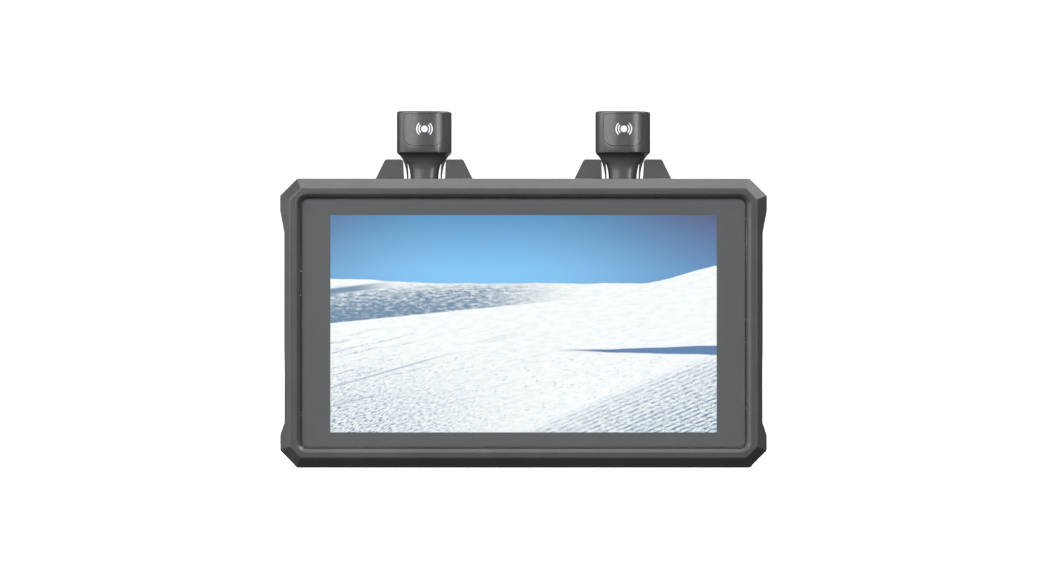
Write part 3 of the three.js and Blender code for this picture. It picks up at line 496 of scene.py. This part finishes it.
# ---- Printed border behind the glass ----
def border_print():
    """The ink on the back of the glass, open over the active area. Its mid grey is partly the dark ink and
    partly painted sheen.
    """
    glass_low, glass_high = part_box("cover_glass")
    back = glass_high.y
    reach_x, reach_z = glass_high.x - 0.4 * MM, (glass_high.z - glass_low.z) / 2 - 0.4 * MM
    middle = (glass_low.z + glass_high.z) / 2
    corner = 1.9 * MM
    outer, inner = [], []
    for sx, sz, start in ((1, -1, -90), (1, 1, 0), (-1, 1, 90), (-1, -1, 180)):
        for i in range(9):
            angle = math.radians(start + 90 * i / 8)
            outer.append(
                (
                    sx * (reach_x - corner) + corner * math.cos(angle),
                    middle + sz * (reach_z - corner) + corner * math.sin(angle),
                )
            )
            inner.append((sx * ACTIVE_WIDTH / 2, ACTIVE_Z + sz * ACTIVE_HEIGHT / 2))
    bm = bmesh.new()
    layers = []
    for y in (back + 0.003 * MM, back + 0.015 * MM):
        layers.append([[bm.verts.new((x, y, z)) for x, z in loop] for loop in (outer, inner)])
    count = len(outer)
    (front_out, front_in), (back_out, back_in) = layers
    for i in range(count):
        j = (i + 1) % count
        bm.faces.new((front_out[i], front_out[j], front_in[j], front_in[i]))
        bm.faces.new((back_out[j], back_out[i], back_in[i], back_in[j]))
        bm.faces.new((front_out[j], front_out[i], back_out[i], back_out[j]))
        bm.faces.new((front_in[i], front_in[j], back_in[j], back_in[i]))
    bmesh.ops.remove_doubles(bm, verts=bm.verts, dist=1e-7)
    bmesh.ops.recalc_face_normals(bm, faces=bm.faces)
    new_piece("border_print", bm, "body", "border_ink", look=border_ink, smooth=False)


border_print()


# ---- Antennas ----
HEAD_HALF_X, HEAD_HALF_Y, HEAD_OFFSET = 8.76, 5.3, -3.0
HEAD_LOW, HEAD_TOP, HEAD_WALL = 12.8, 26.13, 1.2
ARM_LOW, ARM_TOP, FLARE_LOW, STRAIGHT_TOP, SLIT_TOP, FILLET_LOW = 1.0, 12.75, 4.0, 4.7, 9.4, 7.6
FIN_HALF_Y, FIN_ROOT_X = 1.8, 3.0
PIN_BORE, BARREL_RADIUS, BARREL_HALF = 1.56, 3.2, 5.65
SYMBOL_X, SYMBOL_Z, DOT_RADIUS, STROKE = 0.2, 20.35, 1.03, 0.36
ARCS = ((1.7, 44), (2.46, 46))  # radius, and half the angle in degrees


def oval(half_x, half_y, centre_y, z, count=96, power=2.2):
    """A superellipse ring at a height, in millimetres."""
    ring = []
    for i in range(count):
        angle = 2 * math.pi * i / count
        c, s = math.cos(angle), math.sin(angle)
        x = half_x * math.copysign(abs(c) ** (2 / power), c)
        y = centre_y + half_y * math.copysign(abs(s) ** (2 / power), s)
        ring.append(Vector((x, y, z)) * MM)
    return ring


def fin_half(z):
    """Half the width over the fins at height z, in millimetres. It flares out below the head."""
    t = max(0.0, (z - FLARE_LOW) / (ARM_TOP - FLARE_LOW))
    return 5.55 + 2.1 * t**2 + 0.95 * t**8


def slit_half(z):
    """Half the width between the fins at height z, in millimetres."""
    return 5.15 + 0.012 * max(0.0, z - STRAIGHT_TOP) ** 2


def stem_half(z):
    """Half the width of the stem at height z, in millimetres."""
    return 4.48 + 0.036 * max(0.0, z - STRAIGHT_TOP) ** 2


def head_solid(inset=0.0):
    """The head's outside, or its hollow when inset, with a softly rounded rim."""
    half_x, half_y = HEAD_HALF_X - inset, HEAD_HALF_Y - inset
    low, top = HEAD_LOW + inset, HEAD_TOP - inset
    low_rim, top_rim = 0.3, 0.6
    rings = []
    for i in range(4):
        turn = math.pi / 2 * i / 3
        draw = low_rim * (1 - math.sin(turn))
        z = low + low_rim * (1 - math.cos(turn))
        rings.append(oval(half_x - draw, half_y - draw, HEAD_OFFSET, z))
    for i in range(6):
        turn = math.pi / 2 * i / 5
        draw = top_rim * (1 - math.cos(turn))
        z = top - top_rim * (1 - math.sin(turn))
        rings.append(oval(half_x - draw, half_y - draw, HEAD_OFFSET, z))
    bm = bmesh.new()
    skin(bm, rings)
    return bm


def cover_outline(shrink=0.0, steps=10):
    """The front cover's outline in the head's own X and Z, in millimetres."""
    half, low, top, radius, top_radius = 6.4, 15.0, 25.4, 3.2, 1.0
    outline = []
    for side, edge, r, start in (
        (-1, low + radius, radius, -180),
        (1, low + radius, radius, -90),
        (1, top - top_radius, top_radius, 0),
        (-1, top - top_radius, top_radius, 90),
    ):
        for i in range(steps + 1):
            angle = math.radians(start + 90 * i / steps)
            reach = r - shrink
            outline.append((side * (half - r) + reach * math.cos(angle), edge + reach * math.sin(angle)))
    return outline


def upright(outline, y0, y1):
    """A front-view outline of (x, z) extruded along Y."""
    bm = bmesh.new()
    skin(bm, [[Vector((x, y, z)) * MM for x, z in outline] for y in (y1, y0)])
    bmesh.ops.recalc_face_normals(bm, faces=bm.faces)
    return bm


def carve(base, tool, operation="DIFFERENCE"):
    """base cut by, joined to or kept inside tool. Both are spent."""
    objects = []
    for bm in (base, tool):
        bmesh.ops.recalc_face_normals(bm, faces=bm.faces)
        mesh = bpy.data.meshes.new("carving")
        bm.to_mesh(mesh)
        bm.free()
        objects.append(bpy.data.objects.new("carving", mesh))
        bpy.context.scene.collection.objects.link(objects[-1])
    carving = objects[0].modifiers.new("carve", "BOOLEAN")
    carving.operation = operation
    carving.solver = "EXACT"
    carving.object = objects[1]
    done = objects[0].evaluated_get(bpy.context.evaluated_depsgraph_get())
    result = bmesh.new()
    result.from_mesh(done.to_mesh())
    done.to_mesh_clear()
    for o in objects:
        bpy.data.objects.remove(o)
    return result


def arm_fin(side):
    """One of the thin fins beside the stem, which flares out to meet the head."""
    heights = [ARM_LOW + (ARM_TOP - ARM_LOW) * i / 30 for i in range(31)]
    outer = [(side * fin_half(z), z) for z in heights]
    inner = [(side * slit_half(z), z) for z in heights if z < SLIT_TOP]
    inner.append((side * slit_half(SLIT_TOP), SLIT_TOP))
    inner += [(side * FIN_ROOT_X, SLIT_TOP + 0.4), (side * FIN_ROOT_X, ARM_TOP)]
    fin = upright(outer + inner[::-1], -FIN_HALF_Y, FIN_HALF_Y)
    long_edges = [e for e in fin.edges if abs(e.verts[0].co.y - e.verts[1].co.y) < 1e-6]
    bmesh.ops.bevel(fin, geom=long_edges, offset=0.16 * MM, segments=3, affect="EDGES", clamp_overlap=True)
    return fin


def arm_stem():
    """The round-fronted stem, whose front sweeps out to the head's in a quarter circle."""
    stations = [(1.5 + (FILLET_LOW - 1.5) * i / 10, 0.0) for i in range(10)]
    for i in range(19):
        turn = math.pi / 2 * i / 18
        stations.append((FILLET_LOW + (ARM_TOP - FILLET_LOW) * math.sin(turn), 1 - math.cos(turn)))
    rings = []
    for z, sweep in stations:
        share = min(max((z - SLIT_TOP + 0.1) / 0.9, 0.0), 1.0)
        share = share * share * (3 - 2 * share)
        half_x = stem_half(z) + (fin_half(z) - 0.15 - stem_half(z)) * share
        rings.append(oval(half_x, 2.7 + 2.5 * sweep, -0.4 - 2.6 * sweep, z))
    bm = bmesh.new()
    skin(bm, rings)
    return bm


def antenna_arm():
    """The stem, its two fins and the hinge barrel."""
    arm = arm_stem()
    for side in (-1, 1):
        fin = bpy.data.meshes.new("fin")
        shape = arm_fin(side)
        shape.to_mesh(fin)
        shape.free()
        arm.from_mesh(fin)
        bpy.data.meshes.remove(fin)
    rim = BARREL_RADIUS - 0.3
    profile = [
        (PIN_BORE, -BARREL_HALF),
        (rim, -BARREL_HALF),
        (BARREL_RADIUS, 0.3 - BARREL_HALF),
        (BARREL_RADIUS, BARREL_HALF - 0.3),
        (rim, BARREL_HALF),
        (PIN_BORE, BARREL_HALF),
        (PIN_BORE, -BARREL_HALF),
    ]
    lathe(arm, [(radius * MM, along * MM) for radius, along in profile], (0, 0, 0), "x", 56, False)
    bmesh.ops.remove_doubles(arm, verts=arm.verts, dist=1e-7)
    return arm


def head_front(x):
    """Depth of the head's front surface at x, in millimetres."""
    return HEAD_OFFSET - HEAD_HALF_Y * (1 - abs(x / HEAD_HALF_X) ** 2.2) ** (1 / 2.2)


def symbol_point(radius, angle, lift):
    """A point of the symbol, which lies lift in front of the head's curved front."""
    x = SYMBOL_X + radius * math.cos(angle)
    return Vector((x, head_front(x) - lift, SYMBOL_Z + radius * math.sin(angle))) * MM


def antenna_symbol():
    """A dot between two pairs of arcs, printed on the cover."""
    bm = bmesh.new()
    front, rear = 0.03, 0.008
    radii = [max(DOT_RADIUS * j / 5, 0.05) for j in range(6)]
    rims = [(radius, front) for radius in radii] + [(radius, rear) for radius in reversed(radii)]
    turns = [2 * math.pi * i / 36 for i in range(36)]
    skin(bm, [[symbol_point(radius, turn, lift) for turn in turns] for radius, lift in rims])
    for radius, span in ARCS:
        reach = [radius + STROKE * (j / 3 - 0.5) for j in range(4)]
        section = [(r, front) for r in reach] + [(r, rear) for r in reversed(reach)]
        for middle in (0, 180):
            turns = [math.radians(middle - span + 2 * span * i / 18) for i in range(19)]
            skin(bm, [[symbol_point(r, turn, lift) for r, lift in section] for turn in turns])
    bmesh.ops.recalc_face_normals(bm, faces=bm.faces)
    return bm


def element_board():
    """The printed aerial inside the head: a thin board with a meandering trace standing on it."""
    bm = bmesh.new()
    for x0, x1, z0, z1, y0, y1 in [(-5.4, 5.4, 15.0, 24.2, -2.95, -2.25)] + [
        (-4.4, 4.4, 16.2 + 1.4 * i, 16.7 + 1.4 * i, -3.0, -2.9) for i in range(5)
    ]:
        corners = [(x0, z0), (x1, z0), (x1, z1), (x0, z1)]
        skin(bm, [[Vector((x, y, z)) * MM for x, z in corners] for y in (y1, y0)])
    bmesh.ops.recalc_face_normals(bm, faces=bm.faces)
    return bm


def antenna(label):
    """One antenna's pieces, placed on its hinge."""
    hinge = Vector(joints[f"antenna_{label}_fold"]["pos_m"])
    ahead = -12.0
    shell = carve(head_solid(), head_solid(HEAD_WALL))
    plate = carve(shell.copy(), upright(cover_outline(0.12), ahead, HEAD_OFFSET - 0.5), "INTERSECT")
    shell = carve(shell, upright(cover_outline(), ahead, HEAD_OFFSET))
    for name, shape, node, slot, look in (
        ("antenna_shell", shell, "head", "antenna_plastic", None),
        ("antenna_face", plate, "cover", "antenna_plastic", None),
        ("antenna_stem", antenna_arm(), "arm", "antenna_plastic", None),
        ("antenna_board", element_board(), "element", "circuit_board", None),
        ("antenna_symbol", antenna_symbol(), None, "symbol_ink", symbol_ink),
    ):
        shape.transform(Matrix.Translation(hinge))
        stands_for = [f"antenna_{node}_{label}"] if node else []
        piece = new_piece(f"{name}_{label}", shape, f"antenna_{label}", slot, *stands_for, look=look)
        sharpen(piece, 32)


antenna("left")
antenna("right")


# ---- Threaded inserts and screws ----
INSERT_RADIUS, INSERT_DEPTH, THREAD_PITCH, THREAD_CREST, THREAD_ROOT = 5.0, 9.0, 1.27, 2.55, 3.15


def insert_profile(around):
    """Rings of (radius, height) up the outside of a threaded insert and down its thread."""
    rings = []
    bevel, blind = 0.3, 1.2
    for radius, along in (
        (0.01, 0.0),
        (INSERT_RADIUS - bevel, 0.0),
        (INSERT_RADIUS, bevel),
        (INSERT_RADIUS, INSERT_DEPTH - bevel),
        (INSERT_RADIUS - bevel, INSERT_DEPTH),
        (THREAD_ROOT + 0.45, INSERT_DEPTH),
    ):
        rings.append([(radius, along)] * around)
    steps = 72
    for k in range(steps + 1):
        along = INSERT_DEPTH - 0.35 - (INSERT_DEPTH - 2.0) * k / steps
        ring = []
        for i in range(around):
            phase = (along / THREAD_PITCH - i / around) % 1.0
            groove = min(1.0, max(0.0, 2.6 * abs(phase - 0.5) - 0.15))
            ring.append((THREAD_CREST + (THREAD_ROOT - THREAD_CREST) * groove, along))
        rings.append(ring)
    rings.append([(THREAD_CREST, blind + 0.35)] * around)
    rings.append([(0.01, blind)] * around)
    return rings


def threaded_insert(node, mouth):
    """A brass insert with a real internal thread; mouth is +1 where it opens upwards."""
    low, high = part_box(node)
    centre = (low + high) / 2
    around = 48
    placed = []
    for ring in insert_profile(around):
        points = []
        for i, (radius, along) in enumerate(ring):
            angle = 2 * math.pi * i / around
            z = (along - INSERT_DEPTH / 2) * mouth
            points.append(centre + Vector((radius * math.cos(angle), radius * math.sin(angle), z)) * MM)
        placed.append(points)
    bm = bmesh.new()
    skin(bm, placed)
    bmesh.ops.recalc_face_normals(bm, faces=bm.faces)
    side = "top" if mouth > 0 else "bottom"
    piece = new_piece(f"threaded_insert_{side}", bm, "body", "brass", node)
    sharpen(piece, 35)


threaded_insert("tripod_socket_bottom", -1)
threaded_insert("tripod_socket_top", 1)


def screw_profile(length):
    """(radius, height) from the screw's point, over its thread, to the crown of its head."""
    profile = [(0.0, 0.0), (0.7, 0.0), (1.05, 0.5)]
    pitch, turns = 0.5, 15
    for turn in range(turns):
        along = pitch * (turn + 1)
        profile += [(1.22, along + pitch / 2), (1.02, along + pitch)]
    profile += [(1.2, length - 1.3), (2.3, length - 1.2), (2.4, length - 1.05), (2.4, length - 0.45)]
    profile += [(2.25, length - 0.18), (1.9, length - 0.04), (1.5, length), (0.0, length)]
    return [(max(radius, 0.004) * MM, along * MM) for radius, along in profile]


def star_recess(x, z, crown):
    """The six-lobed tool that cuts the recess in a screw's head."""
    lobes, mean, swing = 6, 1.0, 0.22
    outline = []
    for i in range(36):
        angle = 2 * math.pi * i / 36
        radius = (mean + swing * math.cos(lobes * angle)) * MM
        outline.append((x + radius * math.cos(angle), z + radius * math.sin(angle)))
    star = bmesh.new()
    skin(star, [[Vector((px, y, pz)) for px, pz in outline] for y in (crown + 0.3 * MM, crown - 0.8 * MM)])
    return star


def case_screw(index):
    """A pan-head screw with a star recess and a fine thread."""
    low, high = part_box(f"case_screw_{index}")
    x, z, tip, crown = (low.x + high.x) / 2, (low.z + high.z) / 2, low.y, high.y
    bm = bmesh.new()
    lathe(bm, screw_profile((crown - tip) / MM), Vector((x, tip, z)), "y", 32)
    piece = new_piece(
        f"screw_{index}", carve(bm, star_recess(x, z, crown)), "body", "steel", f"case_screw_{index}"
    )
    sharpen(piece, 35)


for index in range(1, 5):
    case_screw(index)


def contact_spring(index):
    """A battery contact: a bent blade with a rounded tip and rounded edges."""
    low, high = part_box(f"contact_blade_{index}")
    deep, tall = high.y - low.y, high.z - low.z
    side = []
    for i in range(13):
        t = i / 12
        side.append((low.y + deep * (0.86 + 0.14 * math.sin(math.pi * t)), low.z + tall * t * 0.94))
    for i in range(7):
        angle = math.pi * i / 6
        side.append(
            (
                low.y + deep * (0.43 + 0.43 * math.cos(angle)),
                low.z + tall * (0.94 + 0.06 * math.sin(angle)),
            )
        )
    side.append((low.y, low.z))
    bm = bmesh.new()
    skin(bm, [[Vector((x, y, z)) for y, z in side] for x in (low.x, high.x)])
    bmesh.ops.recalc_face_normals(bm, faces=bm.faces)
    piece = new_piece(f"battery_contact_{index}", bm, "body", "brass", f"contact_blade_{index}")
    edged(piece, 0.12 * MM, 2, 40)


for index in (1, 2, 3):
    contact_spring(index)


def latch_coil():
    """The latch's compression spring, closed at both ends. The real spring shortens as the latch slides down;
    this coil keeps one length.
    """
    low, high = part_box("latch_spring")
    wire = 0.22 * MM
    radius = (high.x - low.x) / 2 - wire
    length = high.z - low.z - 2 * wire
    steps, turns, closed = 24, 8, 2 * wire
    pitch = (length - 2 * closed) / (turns - 2)
    centre = (low + high) / 2
    rings = []
    for i in range(steps * turns + 1):
        turn = i / steps
        angle = 2 * math.pi * turn
        rise = closed * (min(turn, 1) + max(turn - turns + 1, 0)) + pitch * min(max(turn - 1, 0), turns - 2)
        outward = Vector((math.cos(angle), math.sin(angle), 0))
        at = Vector((centre.x, centre.y, low.z + wire + rise)) + outward * radius
        ring = []
        for k in range(10):
            around = 2 * math.pi * k / 10
            ring.append(at + (outward * math.cos(around) + Vector((0, 0, math.sin(around)))) * wire)
        rings.append(ring)
    bm = bmesh.new()
    skin(bm, rings)
    bmesh.ops.recalc_face_normals(bm, faces=bm.faces)
    piece = new_piece("latch_coil", bm, "body", "steel", "latch_spring")
    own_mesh(piece)


latch_coil()

for node in nodes:
    if node.startswith(("hinge_pin", "hinge_washer")):
        edged(nodes[node], 0.08 * MM, 2, 40)
    elif node in ("radio_shield", "backlight_tray", "power_switch", "mode_switch"):
        edged(nodes[node], 0.15 * MM, 2, 40)


# ---- Stage ----
def backdrop():
    """A plain pale floor that curves up into a wall all round, its glow dimmed near the object as a painted
    pool of shade. It lights nothing.
    """
    floor_radius, curve, wall_top = 2.8, 0.8, 5.0
    profile = [(floor_radius + curve, wall_top)]
    for i in range(17):
        angle = math.pi / 2 * (1 - i / 16)
        profile.append((floor_radius + curve * math.sin(angle), curve * (1 - math.cos(angle))))
    bm = bmesh.new()
    loops = lathe(bm, profile, (0, 0, 0), "z", 96, closed_ends=False)
    bm.faces.new(loops[-1])
    for face in bm.faces:
        face.smooth = True
    mesh = bpy.data.meshes.new("backdrop")
    bm.to_mesh(mesh)
    bm.free()
    sweep = bpy.data.objects.new("backdrop", mesh)
    bpy.context.scene.collection.objects.link(sweep)
    s = Shader("backdrop_paper")
    tone = s.mix(s.noise(3, 2), (0.9, 0.9, 0.9, 1), (0.93, 0.93, 0.93, 1))
    away = s.add("ShaderNodeVectorMath", operation="LENGTH")
    s.link(s.where, away.inputs[0])
    # The glow is weaker near the middle, a painted pool of shade round the object. It reaches full brightness
    # from 1.2 m out.
    painted_shade_glow, far_glow = 0.55, 1.0
    glow = s.math("MULTIPLY_ADD", s.ramp(away.outputs["Value"], 0.4, 1.2), far_glow - painted_shade_glow, painted_shade_glow)
    s.principled(Base_Color=tone, Roughness=0.9, Emission_Color=(1, 1, 1, 1), Emission_Strength=glow)
    mesh.materials.append(s.material)
    sweep.visible_diffuse = False
    sweep.visible_glossy = False


def softbox(name, at, size, watts):
    """A rectangular area light, turned to the middle of the housing."""
    light = bpy.data.lights.new(name, "AREA")
    light.shape = "RECTANGLE"
    light.size, light.size_y = size
    light.energy = watts
    lamp = bpy.data.objects.new(name, light)
    lamp.location = at
    lamp.rotation_euler = (Vector((0, 0, 0.05)) - Vector(at)).to_track_quat("-Z", "Y").to_euler()
    bpy.context.scene.collection.objects.link(lamp)


def world_light():
    """A dim room, brighter overhead."""
    world = bpy.data.worlds.new("studio")
    bpy.context.scene.world = world
    world.use_nodes = True
    tree = world.node_tree
    coord = tree.nodes.new("ShaderNodeTexCoord")
    split = tree.nodes.new("ShaderNodeSeparateXYZ")
    tree.links.new(coord.outputs["Generated"], split.inputs[0])
    ramp = tree.nodes.new("ShaderNodeValToRGB")
    up = tree.nodes.new("ShaderNodeMath")
    up.operation = "MULTIPLY_ADD"
    up.inputs[1].default_value = 0.5
    up.inputs[2].default_value = 0.5
    tree.links.new(split.outputs["Z"], up.inputs[0])
    tree.links.new(up.outputs[0], ramp.inputs[0])
    ramp.color_ramp.elements[0].position = 0.3
    ramp.color_ramp.elements[0].color = grey(0.12)
    ramp.color_ramp.elements[1].position = 0.75
    ramp.color_ramp.elements[1].color = grey(0.9)
    tree.links.new(ramp.outputs[0], tree.nodes["Background"].inputs["Color"])
    tree.nodes["Background"].inputs["Strength"].default_value = 0.012


def camera():
    """Straight in front, level, with the long lens that frames the object as the photo does."""
    lens = bpy.data.cameras.new("camera")
    lens.lens = 131.0
    lens.clip_start = 0.01
    eye = bpy.data.objects.new("camera", lens)
    eye.location = (0.00015, -1.217, 0.0562)
    eye.rotation_euler = (math.pi / 2, 0, 0)
    bpy.context.scene.collection.objects.link(eye)
    bpy.context.scene.camera = eye


backdrop()
world_light()
softbox("overhead_light", (0.0, 0.35, 1.4), (1.8, 0.5), 2.5)
softbox("ceiling_light", (0.0, -0.1, 1.4), (1.8, 0.8), 15)
softbox("left_light", (-1.5, -0.35, 0.35), (0.9, 1.2), 8.5)
softbox("upper_right_light", (1.0, -0.25, 1.15), (0.5, 0.5), 12)
softbox("right_strip", (0.78, -1.15, 0.15), (0.1, 1.0), 11)
softbox("key_light", (-0.9, -1.2, 0.5), (1.3, 0.7), 24)
softbox("front_light", (0.0, -2.1, 0.8), (1.4, 0.7), 4.4)
softbox("rear_light", (0.6, 1.6, 1.0), (1.2, 1.0), 28)
camera()
bpy.context.scene.view_settings.view_transform = "Standard"

# ---- Last: every CAD node takes its slot's look ----
for node, piece in nodes.items():
    piece.data.materials.clear()
    piece.data.materials.append(looks[slot_of[node]])
